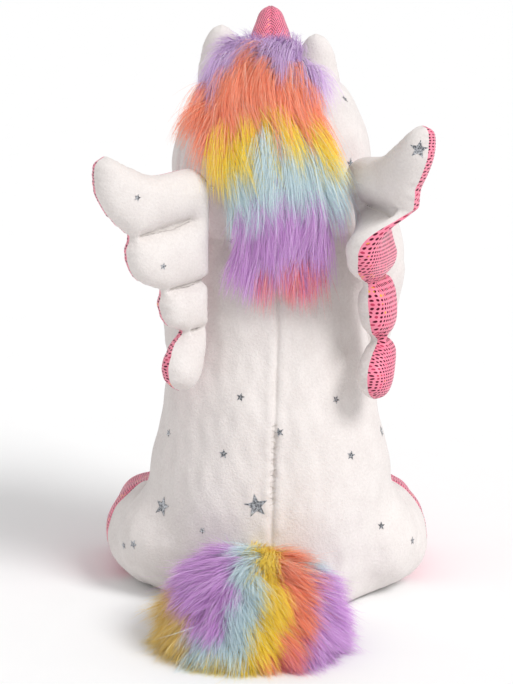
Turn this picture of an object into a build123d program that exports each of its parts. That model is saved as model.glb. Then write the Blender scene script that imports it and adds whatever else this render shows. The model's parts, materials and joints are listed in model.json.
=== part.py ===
from build123d import *
import math
import os

# A seated plush unicorn with wings, in millimetres.
# +Z is up, the toy faces -Y, its own left side is +X, and it sits on the plane z = 0.
# Every stuffed part is a fabric skin around a stuffing core. A limb starts in a ball that
# sits in a pocket of the torso and turns about the ball's centre.

# ---- driving dimensions ----
SKIN = 2.0
STUFFING_GAP = 0.3
POCKET_GAP = 0.6
POCKET_GAP_STEP = 0.35

# torso outline: height, half width, half depth, centre y
TORSO_SECTIONS = [
    (0, 64, 60, 2),
    (14, 77, 71, 2),
    (45, 82, 74, 2),
    (87, 81, 69, 2),
    (121, 74.5, 63, 1),
    (165, 66, 56, -2),
    (205, 59, 51, -3),
    (235, 51, 45, -4),
]
SIDE_SEAM_Y = -14
NECK_CENTRE = (0, -8, 255)
NECK_R = 50
NOD_FORWARD = (0, 9, 18)

HEAD_CENTRE = (0, -15, 288)
HEAD_R = 67
HEAD_BOTTOM_Z = 250
MUZZLE_CENTRE = (0, -61, 268)
MUZZLE_R = 36
MUZZLE_SEAM = 42

HORN_BASE = (0, -45, 335)
HORN_LEAN = 30
HORN_LENGTH = 62
HORN_BASE_R = 25
HORN_TIP_R = 7

EYE_AZIMUTH = 36
EYE_LIFT = 3
EYE_R = 9.5
EYE_DEPTH = 4
POST_R = 1.8
POST_LENGTH = 9
WASHER_R = 7
WASHER_T = 1.4
WASHER_RADIUS_AT = 62.8

# wing outline: each lobe is the hull of two circles (distance from the root, height, radius)
WING_LOBES = [
    ((14, 271, 22), (58, 284, 22)),
    ((14, 240, 22), (38, 238, 20)),
    ((12, 212, 19), (20, 206, 16)),
    ((18, 190, 10), (22, 171, 17)),
]
WING_CREASES = [((22, 257), (50, 259)), ((14, 221), (34, 219)), ((10, 190), (26, 189))]
WING_T = 20
WING_HINGE = {"left": (47, 46), "right": (63, 32)}
WING_SPREAD = {"left": 36, "right": 72}
THREAD = 1.0

# ears: base corners and top circle in the frontal plane (x, z, radius)
EAR_CORNERS = [(19, 357, 2), (43, 345, 2)]
EAR_TOP = (31, 367, 12)
EAR_Y = -22
EAR_T = 4.4

# limbs: ball centre, sole centre, ball radius, hoof radius
FORELEGS = {
    "left": ((46, -14, 216), (40, -72, 112), 30, 28.5),
    "right": ((60, -14, 216), (44, -72, 112), 30.5, 28.5),
}
HIND_LEGS = {
    "left": ((72, -2, 33), (83, -98, 31), 33, 31),
    "right": ((69, -2, 33), (76, -98, 31), 33, 31),
}
FORELEG_HOOF_FROM = 0.76
HIND_LEG_HOOF_FROM = 0.32
# turns of a limb for which its pocket leaves room, about an axis through the ball's centre
FORELEG_RAISE = ((0, -1, 0), (70, 52, 34, 22, 11, 0))
HIND_LEG_SPLAY = ((0, 0, 1), (45, 30, 15, 0))
SOLE_ROUND = 10

TAIL_PIVOT = (4, 70, 32)
TAIL_BALL_R = 12
TAIL_ROOM = 2
TAIL_NECK_R = 7
TAIL_CORE_LENGTH = 58
TAIL_FUR_CENTRE = (13, 115, 0)
TAIL_FUR_R = 63
TAIL_FUR_HEIGHT = 60
TAIL_FUR_ROUND = 28
TAIL_FUR_START = 80
TAIL_LIFT = 35

MANE_RISE = 22
MANE_CLEAR = 0.4
CROWN_FRONT_Y = -2
CROWN_UPPER = (42, 314)
CROWN_LOWER = (33, 268)
NAPE_HALF_WIDTH = 33
NAPE_Z = (207, 248)
NAPE_INNER = (60.5, 53)
NAPE_OUTER = (66, 70)
NAPE_CENTRE_Y = -4

STITCH_COUNT = 9
STITCH_Z = (78, 128)
STITCH_R = 0.6
STITCH_LENGTH = 7

FAR = 400


# ---- helpers ----
def save(name, shape):
    export_step(shape, f"parts/{name}.step")


def ball(centre, radius):
    return Pos(*centre) * Sphere(radius)


def slab(low, high):
    size = [b - a for a, b in zip(low, high)]
    middle = [(a + b) / 2 for a, b in zip(low, high)]
    return Pos(*middle) * Box(*size)


def side_half(side):
    if side == "left":
        return slab((0, -FAR, -FAR), (FAR, FAR, FAR))
    return slab((-FAR, -FAR, -FAR), (0, FAR, FAR))


def mirror_if_right(side, shape):
    return mirror(shape, about=Plane.YZ) if side == "right" else shape


# ---- limbs ----
def limb_shape(length, ball_r, hoof_r, inset=0.0):
    """A turned limb about +Z: a half ball at the origin, then a cone to a rounded sole."""
    start_r = ball_r - inset
    end_r = hoof_r - inset
    end = length - inset
    rounding = SOLE_ROUND - inset
    bend = math.sqrt(0.5)
    back = ThreePointArc((0, -start_r), (start_r * bend, -start_r * bend), (start_r, 0))
    flank = Line((start_r, 0), (end_r, end - rounding))
    corner_mid = (end_r - rounding * (1 - bend), end - rounding * (1 - bend))
    corner = ThreePointArc((end_r, end - rounding), corner_mid, (end_r - rounding, end))
    sole = Line((end_r - rounding, end), (0, end))
    axis = Line((0, end), (0, -start_r))
    profile = make_face(Wire([back, flank, corner, sole, axis]))
    return revolve(Plane.XZ * profile, Axis.Z)


def limb_place(start, end):
    direction = Vector(*end) - Vector(*start)
    return Plane(origin=start, x_dir=(1, 0, 0), z_dir=direction).location, direction.length


def limb_pockets(side, swing, start, end, ball_r, hoof_r):
    """The room that a limb takes over its whole swing, as one solid for each turn.

    The first room is the loosest, and each later one fits a little closer.
    """
    place, length = limb_place(start, end)
    axis, turns = swing
    rooms = []
    for i, turn in enumerate(turns):
        gap = POCKET_GAP + POCKET_GAP_STEP * (len(turns) - 1 - i)
        room = place * limb_shape(length, ball_r, hoof_r, -gap)
        rooms.append(mirror_if_right(side, room.rotate(Axis(start, axis), turn)))
    return rooms


def limb_parts(side, prefix, hoof_from, start, end, ball_r, hoof_r):
    place, length = limb_place(start, end)
    outer = limb_shape(length, ball_r, hoof_r)
    skin = outer - limb_shape(length, ball_r, hoof_r, SKIN)
    stuffing = limb_shape(length, ball_r, hoof_r, SKIN + STUFFING_GAP)
    seam = length * hoof_from
    below = slab((-FAR, -FAR, -FAR), (FAR, FAR, seam))
    sole_r = hoof_r - SOLE_ROUND
    sole_zone = Pos(0, 0, length) * Cylinder(sole_r, 4 * SKIN)
    pieces = {
        "sleeve": skin & below,
        "hoof_cover": skin - below - sole_zone,
        "sole": skin & sole_zone,
        "stuffing": stuffing,
    }
    for name, piece in pieces.items():
        save(f"{prefix}_{name}_{side}", mirror_if_right(side, place * piece))


# ---- torso ----
def torso_shape(inset=0.0):
    sections = []
    for z, half_width, half_depth, centre_y in TORSO_SECTIONS:
        height = min(max(z, inset), TORSO_SECTIONS[-1][0] - inset)
        ellipse = Ellipse(half_width - inset, half_depth - inset)
        sections.append(Pos(0, centre_y, height) * ellipse)
    return loft(sections) + ball(NECK_CENTRE, NECK_R - inset)


def nodded(point, degrees):
    """A point of the head after it nods forward about the neck's centre."""
    turn = math.radians(degrees)
    y = point[1] - NECK_CENTRE[1]
    z = point[2] - NECK_CENTRE[2]
    turned_y = y * math.cos(turn) - z * math.sin(turn)
    turned_z = y * math.sin(turn) + z * math.cos(turn)
    return (point[0], NECK_CENTRE[1] + turned_y, NECK_CENTRE[2] + turned_z)


def cut_pockets(shape):
    shape -= ball(TAIL_PIVOT, TAIL_BALL_R + TAIL_ROOM)
    for degrees in NOD_FORWARD:
        shape -= ball(nodded(MUZZLE_CENTRE, degrees), MUZZLE_R + 2 * POCKET_GAP)
    for side in ("left", "right"):
        for limbs, swing in ((FORELEGS, FORELEG_RAISE), (HIND_LEGS, HIND_LEG_SPLAY)):
            for room in limb_pockets(side, swing, *limbs[side]):
                shape -= room
    return shape


def make_torso():
    skin = cut_pockets(torso_shape() - torso_shape(SKIN))
    front = slab((-FAR, -FAR, -FAR), (FAR, SIDE_SEAM_Y, FAR))
    save("belly_panel", skin & front)
    back = skin - front
    for side in ("left", "right"):
        save(f"back_panel_{side}", back & side_half(side))
    save("torso_stuffing", cut_pockets(torso_shape(SKIN + STUFFING_GAP)))


def back_surface_y(z):
    """The torso's rearmost y at height z, between two sections."""
    for low, high in zip(TORSO_SECTIONS, TORSO_SECTIONS[1:]):
        if low[0] <= z <= high[0]:
            share = (z - low[0]) / (high[0] - low[0])
            low_y = low[2] + low[3]
            return low_y + share * (high[2] + high[3] - low_y)
    raise ValueError("height outside the torso")


def make_back_stitches():
    low, high = STITCH_Z
    stitches = []
    for i in range(STITCH_COUNT):
        z = low + (high - low) * i / (STITCH_COUNT - 1)
        y = back_surface_y(z) + 2 * STITCH_R + STUFFING_GAP
        lean = 70 if i % 2 else 110
        stitches.append(Pos(0, y, z) * Rot(0, lean, 0) * Cylinder(STITCH_R, STITCH_LENGTH))
    save("back_seam_thread", Compound(stitches))


# ---- head ----
def head_shape(inset=0.0):
    return ball(HEAD_CENTRE, HEAD_R - inset) + ball(MUZZLE_CENTRE, MUZZLE_R - inset)


def muzzle_axis():
    return (Vector(*MUZZLE_CENTRE) - Vector(*HEAD_CENTRE)).normalized()


def eye_direction(side):
    azimuth = math.radians(EYE_AZIMUTH)
    lift = math.radians(EYE_LIFT)
    x = math.sin(azimuth) * math.cos(lift)
    return Vector(x if side == "left" else -x, -math.cos(azimuth) * math.cos(lift), math.sin(lift))


def eye_frame(side, radius):
    direction = eye_direction(side)
    origin = Vector(*HEAD_CENTRE) + direction * radius
    return Plane(origin=origin, x_dir=(0, 0, 1), z_dir=direction).location


def post_hole(side, radius):
    middle = HEAD_R - POST_LENGTH / 2
    return eye_frame(side, middle) * Cylinder(radius, POST_LENGTH + 2)


def horn_shape(inset=0.0):
    base_r = HORN_BASE_R - inset
    tip_r = HORN_TIP_R - inset
    tip_z = HORN_LENGTH - HORN_TIP_R
    bend = math.sqrt(0.5)
    start = -12
    flank = Line((base_r, start), (tip_r, tip_z))
    tip = ThreePointArc((tip_r, tip_z), (tip_r * bend, tip_z + tip_r * bend), (0, tip_z + tip_r))
    axis = Line((0, tip_z + tip_r), (0, start))
    base = Line((0, start), (base_r, start))
    turned = revolve(Plane.XZ * make_face(Wire([flank, tip, axis, base])), Axis.Z)
    return Pos(*HORN_BASE) * Rot(HORN_LEAN, 0, 0) * turned


def make_head():
    neck_room = ball(NECK_CENTRE, NECK_R + POCKET_GAP)
    under = slab((-FAR, -FAR, -FAR), (FAR, FAR, HEAD_BOTTOM_Z))
    chin_zone = ball(MUZZLE_CENTRE, MUZZLE_R + 1)
    below_head = under - chin_zone
    skin = head_shape() - head_shape(SKIN) - neck_room - below_head
    core = head_shape(SKIN + STUFFING_GAP) - neck_room - below_head
    for side in ("left", "right"):
        skin -= post_hole(side, POST_R + STUFFING_GAP)
        core -= eye_frame(side, WASHER_RADIUS_AT) * Cylinder(WASHER_R + 1, 4 * WASHER_T)
        core -= post_hole(side, POST_R + 1)
    axis = muzzle_axis()
    seam = Vector(*HEAD_CENTRE) + axis * MUZZLE_SEAM
    front = Plane(origin=seam, x_dir=(1, 0, 0), z_dir=axis).location * (Pos(0, 0, FAR / 2) * Box(FAR, FAR, FAR))
    front_zone = front & ball(MUZZLE_CENTRE, MUZZLE_R + 2)
    save("muzzle_panel", skin & front_zone)
    rest = skin - front_zone
    for side in ("left", "right"):
        save(f"head_panel_{side}", rest & side_half(side))
    save("head_stuffing", core)


def make_horn():
    head = ball(HEAD_CENTRE, HEAD_R + MANE_CLEAR)
    save("horn_cover", horn_shape() - horn_shape(SKIN) - head)
    save("horn_stuffing", horn_shape(SKIN + STUFFING_GAP) - head)


def make_eyes():
    head = ball(HEAD_CENTRE, HEAD_R + MANE_CLEAR / 2)
    for side in ("left", "right"):
        dome = (eye_frame(side, HEAD_R - EYE_DEPTH) * Sphere(EYE_R)) - head
        post = eye_frame(side, HEAD_R - POST_LENGTH / 2 + 1) * Cylinder(POST_R, POST_LENGTH + 2)
        save(f"eye_{side}", dome + post)
        ring = Cylinder(WASHER_R, WASHER_T) - Cylinder(POST_R + MANE_CLEAR / 2, 2 * WASHER_T)
        save(f"eye_washer_{side}", eye_frame(side, WASHER_RADIUS_AT) * ring)


def on_muzzle(turn, lift, radius):
    """A frame on the muzzle ball: turn is sideways and lift is upward, in degrees."""
    a = math.radians(turn)
    e = math.radians(lift)
    direction = Vector(math.sin(a) * math.cos(e), -math.cos(a) * math.cos(e), math.sin(e))
    return Plane(origin=Vector(*MUZZLE_CENTRE) + direction * radius, x_dir=(0, 0, 1), z_dir=direction).location


def make_face_details():
    pad_t = 1.2
    outside = MUZZLE_R + pad_t / 2 + 0.3
    nostrils = [on_muzzle(turn, 14, outside) * Cylinder(2.6, pad_t) for turn in (-22, 22)]
    save("nostril_embroidery", Compound(nostrils))
    stitch = 3.4
    mouth = []
    for step in range(-4, 5):
        frame = on_muzzle(step * 8, -26 + 0.55 * step * step, MUZZLE_R + 1.1)
        mouth.append(frame * Rot(90, 0, 0) * Cylinder(THREAD / 2, stitch))
    save("mouth_embroidery", Compound(mouth))


def make_mane():
    shell = ball(HEAD_CENTRE, HEAD_R + MANE_RISE) - ball(HEAD_CENTRE, HEAD_R + MANE_CLEAR)
    zones = []
    for half_width, low_z in (CROWN_UPPER, CROWN_LOWER):
        zones.append(slab((-half_width, CROWN_FRONT_Y, low_z), (half_width, FAR, FAR)))
    save("mane_crown", shell & (zones[0] + zones[1]))
    height = NAPE_Z[1] - NAPE_Z[0]
    plate = extrude(Ellipse(*NAPE_OUTER), height) - extrude(Ellipse(*NAPE_INNER), height)
    plate = Pos(0, NAPE_CENTRE_Y, NAPE_Z[0]) * plate
    save("mane_nape", plate & slab((-NAPE_HALF_WIDTH, 0, 0), (NAPE_HALF_WIDTH, FAR, FAR)))


# ---- ears ----
def ear_outline():
    circles = [Pos(x, z) * Circle(r) for x, z, r in EAR_CORNERS + [EAR_TOP]]
    return make_hull(Sketch(circles).edges())


def make_ears():
    outline = ear_outline()
    half = EAR_T / 2
    upright = Pos(0, EAR_Y, 0) * Rot(90, 0, 0)
    layers = {"outer": upright * Pos(0, 0, -half) * extrude(outline, half),
              "inner": upright * extrude(outline, half)}
    for side in ("left", "right"):
        for name, layer in layers.items():
            save(f"ear_{name}_{side}", mirror_if_right(side, layer))


# ---- wings ----
def wing_outline(inset=0.0):
    outline = None
    for lobe in WING_LOBES:
        circles = [Pos(u, z) * Circle(r - inset) for u, z, r in lobe]
        hull = make_hull(Sketch(circles).edges())
        outline = hull if outline is None else outline + hull
    root_cut = Pos(-FAR / 2 + inset, 0) * Rectangle(FAR, 4 * FAR)
    return outline - root_cut


def crease_bar(start, end, level):
    run = Vector(end[0] - start[0], end[1] - start[1])
    turn = math.degrees(math.atan2(run.Y, run.X))
    middle = ((start[0] + end[0]) / 2, (start[1] + end[1]) / 2)
    return Pos(*middle, level) * Rot(0, 0, turn) * Box(run.length, THREAD, THREAD)


def make_wings():
    half = WING_T / 2
    outline = wing_outline()
    rim = extrude(outline, half) - extrude(wing_outline(SKIN), half - SKIN)
    # layers are built flat, with the pink side up, then stood on edge
    front = rim
    back = mirror(rim, about=Plane.XY)
    inner = wing_outline(SKIN + STUFFING_GAP)
    depth = WING_T - 2 * SKIN - 2 * STUFFING_GAP
    stuffing = Pos(0, 0, -depth / 2) * extrude(inner, depth)
    level = half + THREAD / 2
    bars = [crease_bar(a, b, z) for a, b in WING_CREASES for z in (level, -level)]
    layers = {"front": front, "back": back, "stuffing": stuffing, "quilting": Compound(bars)}
    for side in ("left", "right"):
        place = Pos(*WING_HINGE[side], 0) * Rot(0, 0, WING_SPREAD[side]) * Rot(90, 0, 0)
        for name, layer in layers.items():
            save(f"wing_{name}_{side}", mirror_if_right(side, place * layer))


# ---- tail ----
def tail_core(grow=0.0):
    neck = Pos(0, TAIL_CORE_LENGTH / 2, 0) * Rot(90, 0, 0) * Cylinder(TAIL_NECK_R + grow, TAIL_CORE_LENGTH)
    tip = Pos(0, TAIL_CORE_LENGTH, 0) * Sphere(TAIL_NECK_R + grow)
    return Pos(*TAIL_PIVOT) * (Sphere(TAIL_BALL_R + grow) + neck + tip)


def make_tail():
    save("tail_core", tail_core())
    x, y, z = TAIL_FUR_CENTRE
    puck = Cylinder(TAIL_FUR_R, TAIL_FUR_HEIGHT, align=(Align.CENTER, Align.CENTER, Align.MIN))
    puck = fillet(puck.edges().filter_by(GeomType.CIRCLE), TAIL_FUR_ROUND)
    tuft = Pos(x, y, z) * puck
    slope = Pos(0, TAIL_FUR_START, 0) * Rot(-TAIL_LIFT, 0, 0)
    behind = slope * (Pos(0, FAR / 2, 0) * Box(FAR, FAR, FAR))
    save("tail_fur", (tuft & behind) - tail_core(MANE_CLEAR))


# ---- the whole toy ----
os.makedirs("parts", exist_ok=True)
make_torso()
make_back_stitches()
make_head()
make_horn()
make_eyes()
make_face_details()
make_mane()
make_ears()
make_wings()
for limb_side in ("left", "right"):
    limb_parts(limb_side, "foreleg", FORELEG_HOOF_FROM, *FORELEGS[limb_side])
    limb_parts(limb_side, "hind_leg", HIND_LEG_HOOF_FROM, *HIND_LEGS[limb_side])
make_tail()
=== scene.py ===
import json
import math

import bpy
import numpy as np
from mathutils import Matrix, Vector
from mathutils.bvhtree import BVHTree
from mathutils.geometry import delaunay_2d_cdt


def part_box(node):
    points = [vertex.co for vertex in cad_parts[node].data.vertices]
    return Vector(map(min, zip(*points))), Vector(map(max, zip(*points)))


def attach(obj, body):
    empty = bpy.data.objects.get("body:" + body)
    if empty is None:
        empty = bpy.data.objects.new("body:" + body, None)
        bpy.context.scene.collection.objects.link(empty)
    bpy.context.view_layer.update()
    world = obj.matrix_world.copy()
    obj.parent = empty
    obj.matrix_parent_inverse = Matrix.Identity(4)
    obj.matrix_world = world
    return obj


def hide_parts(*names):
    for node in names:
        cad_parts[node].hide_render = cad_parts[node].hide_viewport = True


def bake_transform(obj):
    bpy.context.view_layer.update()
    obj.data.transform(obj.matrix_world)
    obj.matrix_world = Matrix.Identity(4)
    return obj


# The plush unicorn's looks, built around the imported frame.
# Shapes are worked out in millimetres and turned into metres when a mesh is made.
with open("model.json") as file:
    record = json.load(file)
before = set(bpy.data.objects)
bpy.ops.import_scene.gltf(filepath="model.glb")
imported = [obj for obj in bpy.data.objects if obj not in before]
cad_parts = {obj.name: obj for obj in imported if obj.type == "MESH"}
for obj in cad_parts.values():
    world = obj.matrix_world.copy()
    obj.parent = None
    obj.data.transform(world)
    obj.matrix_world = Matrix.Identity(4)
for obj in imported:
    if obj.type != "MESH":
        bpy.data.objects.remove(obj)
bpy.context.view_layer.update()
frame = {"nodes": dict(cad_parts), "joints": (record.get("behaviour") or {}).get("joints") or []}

MM = 0.001
TAU = 2 * math.pi
SIDES = {"left": 1, "right": -1}
RECORD_JOINTS = {joint["name"]: joint for joint in frame["joints"]}


def joint_point(name):
    return np.array(RECORD_JOINTS[name]["pos_m"]) / MM


def box_mm(node):
    low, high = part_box(node)
    return np.array(low) / MM, np.array(high) / MM


def middle(node):
    low, high = box_mm(node)
    return (low + high) / 2


# ---- driving sizes, mm ----
NECK = joint_point("neck_nod")
HEAD = NECK + (0, -7, 33)
HEAD_R = 67.0
MUZZLE = HEAD + (0, -46, -20)

# torso: height, half width, half depth, centre y
TORSO = [
    (-6, 62, 58, 2), (0, 68, 64, 2), (14, 78, 72, 2), (45, 82.5, 74, 2), (87, 81, 69, 2),
    (121, 74.5, 64, 1), (165, 67, 57, -2), (205, 61, 52, -3), (235, 53, 46, -4), (252, 38, 33, -6),
    (262, 8, 8, -8),
]
SEAM_X = ((40, 0.6), (190, -4))
HAND_STITCHES = (78, 128, 15)

WING_LOBES = [
    [(0, 286), (12, 295), (38, 294), (60, 302), (72, 307), (80, 300), (79, 283), (69, 266), (56, 254)],
    [(56, 254), (59, 245), (55, 230), (46, 223), (34, 218)],
    [(34, 218), (36, 207), (31, 195), (20, 190)],
    [(20, 190), (35, 180), (40, 167), (34, 156), (22, 152), (11, 161), (6, 177), (2, 190)],
]
WING_CREASES = [((56, 254), (16, 262)), ((34, 218), (5, 222)), ((20, 190), (8, 191))]
# thickness, and how much wider the panels are cut than the finished wing
WING_T = 29.0
WING_GROWTH = 1.06
# width of the strip that is sewn down, where the cloth is pinned
WING_SEWN = 6
WING_DRAWN = (153, 190, 218, 254, 307)
WING_LEVELS = {"left": WING_DRAWN, "right": (145, 182, 221, 259, 308)}
# turn of the wing from the sideways direction towards the back: height, degrees
WING_TURNS = {"left": ((178, 58), (200, 38), (230, 36)), "right": ((181, 112), (245, 108), (272, 58))}
# turn at the sewn root in degrees, and how far out the wing has bent to its own turn
WING_BASE_TURN = 62
WING_BEND = 18
# how far the root leaves the joint's line towards the back seam: height, distance
WING_ROOTS = {"left": ((180, 3), (300, 3)), "right": ((175, -6), (240, -4), (285, 12))}

# half of a wing's thickness where its two panels are sewn together
CREASE_HALF = 1.1
# how much that half grows for each mm of distance from the outline
CREASE_EASE = 0.2
# how much the tip lobe rises for each mm of its reach
WING_LIFT = {"left": 0.0, "right": 0.24}

# how far each ear moves inward and up
EARS = {"left": (-1, 3), "right": (2, -3)}
EAR_T = 17.0
# the ear is pinned below this height
EAR_SEWN = 344
EAR_OUTLINE = [(17, 338), (17, 356), (23, 371), (32, 377), (41, 371), (46, 357), (46, 338)]


# ---- numbers ----
def unit(v):
    return v / np.linalg.norm(v, axis=-1, keepdims=True)


def smoothstep(value, low, high):
    t = np.clip((value - low) / (high - low), 0, 1)
    return t * t * (3 - 2 * t)


def bump(value, centre, width):
    return np.exp(-(((value - centre) / width) ** 2))


RIPPLE_WAVES = 16


def ripple(points, wavelength, seed):
    """Smooth seeded noise, mostly between -1 and 1."""
    rng = np.random.default_rng(seed)
    heading = unit(rng.normal(size=(RIPPLE_WAVES, 3)))
    pace = TAU / wavelength * rng.uniform(0.7, 1.5, RIPPLE_WAVES)
    phase = rng.uniform(0, TAU, RIPPLE_WAVES)
    return np.sin(points @ (heading * pace[:, None]).T + phase).sum(-1) / math.sqrt(RIPPLE_WAVES)


def spline(points, per_span, closed=False):
    """A Catmull-Rom curve through the points."""
    points = np.asarray(points, float)
    if closed:
        guide = np.vstack([points[-1:], points, points[:2]])
    else:
        guide = np.vstack([2 * points[:1] - points[1:2], points, 2 * points[-1:] - points[-2:-1]])
    t = np.arange(per_span)[:, None] / per_span
    spans = []
    for a, b, c, d in zip(guide, guide[1:], guide[2:], guide[3:]):
        curve = (2 * a - 5 * b + 4 * c - d) * t**2 + (3 * b - a - 3 * c + d) * t**3
        spans.append(0.5 * (2 * b + (c - a) * t + curve))
    if not closed:
        spans.append(points[-1:])
    return np.vstack(spans)


# ---- meshes ----
def make_piece(name, points, faces, *materials, fabric=None, slots=None):
    mesh = bpy.data.meshes.new(name)
    mesh.from_pydata((np.asarray(points) * MM).tolist(), [], [list(map(int, face)) for face in faces])
    mesh.polygons.foreach_set("use_smooth", [True] * len(mesh.polygons))
    for material in materials:
        mesh.materials.append(material)
    if slots is not None:
        mesh.polygons.foreach_set("material_index", np.asarray(slots, np.int32))
    if fabric is not None:
        layer = mesh.attributes.new("fabric", "FLOAT_VECTOR", "POINT")
        flat = np.column_stack([fabric, np.zeros(len(fabric))])
        layer.data.foreach_set("vector", flat.astype(np.float32).ravel())
    mesh.update()
    piece = bpy.data.objects.new(name, mesh)
    bpy.context.scene.collection.objects.link(piece)
    return piece


def grid_faces(rows, columns, closed=True):
    row = np.arange(rows - 1)[:, None]
    column = np.arange(columns if closed else columns - 1)[None, :]
    beside = (column + 1) % columns
    a = row * columns + column
    b = row * columns + beside
    return np.stack([a, b, b + columns, a + columns], -1).reshape(-1, 4)


def closed_skin(rows, columns):
    """Faces of a grid of rings with both ends filled, facing outward."""
    faces = grid_faces(rows, columns).tolist()
    faces.append(list(range(columns))[::-1])
    faces.append(list(range((rows - 1) * columns, rows * columns)))
    return [face[::-1] for face in faces]


def points_of(piece):
    flat = np.empty(len(piece.data.vertices) * 3)
    piece.data.vertices.foreach_get("co", flat)
    return flat.reshape(-1, 3) / MM


def normals_of(piece):
    flat = np.empty(len(piece.data.vertices) * 3)
    piece.data.vertex_normals.foreach_get("vector", flat)
    return flat.reshape(-1, 3)


def set_points(piece, points):
    piece.data.vertices.foreach_set("co", (np.asarray(points) * MM).astype(np.float32).ravel())
    piece.data.update()


def apply_modifiers(piece):
    depsgraph = bpy.context.evaluated_depsgraph_get()
    fresh = bpy.data.meshes.new_from_object(piece.evaluated_get(depsgraph))
    piece.modifiers.clear()
    old = piece.data
    piece.data = fresh
    bpy.data.meshes.remove(old)


def refine(piece):
    modifier = piece.modifiers.new("subdivide", "SUBSURF")
    modifier.levels = 1
    modifier.render_levels = 1
    apply_modifiers(piece)


CLOTH_POINT_KG = 0.0003
# pressure, the most that a point may move in mm, and frames
CLOTH = {
    "body": (6.0, 2.2, 12),
    "limb": (160.0, 1.8, 20),
    "pillow": (160.0, 4.0, 24),
    "horn": (160.0, 1.0, 16),
}


def inflate(piece, pins, kind):
    """Blows the piece up as cloth. Pinned points stay, and no point moves further than the cap."""
    pressure, cap, frames = CLOTH[kind]
    before = points_of(piece)
    group = piece.vertex_groups.new(name="pins")
    group.add([int(i) for i in pins], 1.0, "REPLACE")
    cloth = piece.modifiers.new("cloth", "CLOTH")
    cloth.settings.vertex_group_mass = "pins"
    cloth.settings.mass = CLOTH_POINT_KG
    cloth.settings.use_pressure = True
    cloth.settings.uniform_pressure_force = pressure
    cloth.settings.effector_weights.gravity = 0
    scene = bpy.context.scene
    for step in range(1, frames + 1):
        scene.frame_set(step)
    apply_modifiers(piece)
    piece.vertex_groups.clear()
    move = points_of(piece) - before
    length = np.linalg.norm(move, axis=1, keepdims=True)
    set_points(piece, before + move * np.minimum(1, cap / np.maximum(length, 1e-6)))
    scene.frame_set(1)


def keep_faces(name, piece, wanted, material):
    """A new piece with the wanted faces of another, and only the points that they use."""
    faces = [tuple(polygon.vertices) for polygon, keep in zip(piece.data.polygons, wanted) if keep]
    used = sorted({i for face in faces for i in face})
    place = {old: new for new, old in enumerate(used)}
    flat = np.empty(len(piece.data.vertices) * 3)
    piece.data.attributes["fabric"].data.foreach_get("vector", flat)
    fabric = flat.reshape(-1, 3)[used, :2]
    faces = [[place[i] for i in face] for face in faces]
    return make_piece(name, points_of(piece)[used], faces, material, fabric=fabric)


TUBE_SIDES = 6


def tube(path, radius):
    """Points and faces of a thin tube along a path."""
    path = np.asarray(path, float)
    ahead = unit(np.gradient(path, axis=0))
    helper = np.where(np.abs(ahead[:, 2:]) > 0.9, (1, 0, 0), (0, 0, 1))
    across = unit(np.cross(ahead, helper))
    up = np.cross(across, ahead)
    turn = np.arange(TUBE_SIDES) / TUBE_SIDES * TAU
    ring = across[:, None] * np.cos(turn)[:, None] + up[:, None] * np.sin(turn)[:, None]
    radius = np.broadcast_to(radius, len(path))[:, None, None]
    return (path[:, None] + ring * radius).reshape(-1, 3), grid_faces(len(path), TUBE_SIDES)


def join_parts(parts):
    """Stacks several (points, faces) pairs into one."""
    points = []
    faces = []
    count = 0
    for part_points, part_faces in parts:
        points.append(part_points)
        faces.extend([[int(i) + count for i in face] for face in part_faces])
        count += len(part_points)
    return np.vstack(points), faces


def finish_piece(piece, body, slot, *nodes, fill=None):
    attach(piece, body)
    if nodes:
        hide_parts(*nodes)


# ---- materials ----
def linear(red, green, blue):
    """A linear colour from 0-255 display values."""
    channels = [c / 255 for c in (red, green, blue)]
    return tuple(c / 12.92 if c <= 0.04045 else ((c + 0.055) / 1.055) ** 2.4 for c in channels) + (1.0,)


def new_material(name, **sockets):
    material = bpy.data.materials.new(name)
    material.use_nodes = True
    shader = material.node_tree.nodes["Principled BSDF"]
    for socket, value in sockets.items():
        shader.inputs[socket.replace("_", " ")].default_value = value
    return material, material.node_tree, shader


def add_node(tree, kind, inputs=(), **settings):
    node = tree.nodes.new(kind)
    for setting, value in settings.items():
        setattr(node, setting, value)
    for socket, value in dict(inputs).items():
        if isinstance(value, bpy.types.NodeSocket):
            tree.links.new(value, node.inputs[socket])
        else:
            node.inputs[socket].default_value = value
    return node


def plus(tree, a, b):
    return add_node(tree, "ShaderNodeMath", {0: a, 1: b}, operation="ADD").outputs[0]


def times(tree, a, b):
    return add_node(tree, "ShaderNodeMath", {0: a, 1: b}, operation="MULTIPLY").outputs[0]


def mix_colour(tree, factor, a, b):
    node = add_node(tree, "ShaderNodeMix", data_type="RGBA")
    for socket, value in (("Factor_Float", factor), ("A_Color", a), ("B_Color", b)):
        target = next(s for s in node.inputs if s.identifier == socket)
        if isinstance(value, bpy.types.NodeSocket):
            tree.links.new(value, target)
        else:
            target.default_value = value
    return next(s for s in node.outputs if s.identifier == "Result_Color")


def noise(tree, position, size_mm, detail):
    inputs = {"Vector": position, "Scale": 1 / (size_mm * MM), "Detail": detail}
    return add_node(tree, "ShaderNodeTexNoise", inputs).outputs["Fac"]


def ramp(tree, value, low, high):
    inputs = {"Value": value, "From Min": low, "From Max": high}
    return add_node(tree, "ShaderNodeMapRange", inputs, clamp=True).outputs[0]


def object_place(tree):
    return add_node(tree, "ShaderNodeTexCoord").outputs["Object"]


def vector_node(tree, operation, a, b=(0, 0, 0), output=0):
    return add_node(tree, "ShaderNodeVectorMath", {0: a, 1: b}, operation=operation).outputs[output]


def add_relief(tree, shader, height, strength, distance_mm):
    inputs = {"Strength": strength, "Distance": distance_mm * MM, "Height": height}
    relief = add_node(tree, "ShaderNodeBump", inputs)
    tree.links.new(relief.outputs[0], shader.inputs["Normal"])


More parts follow.
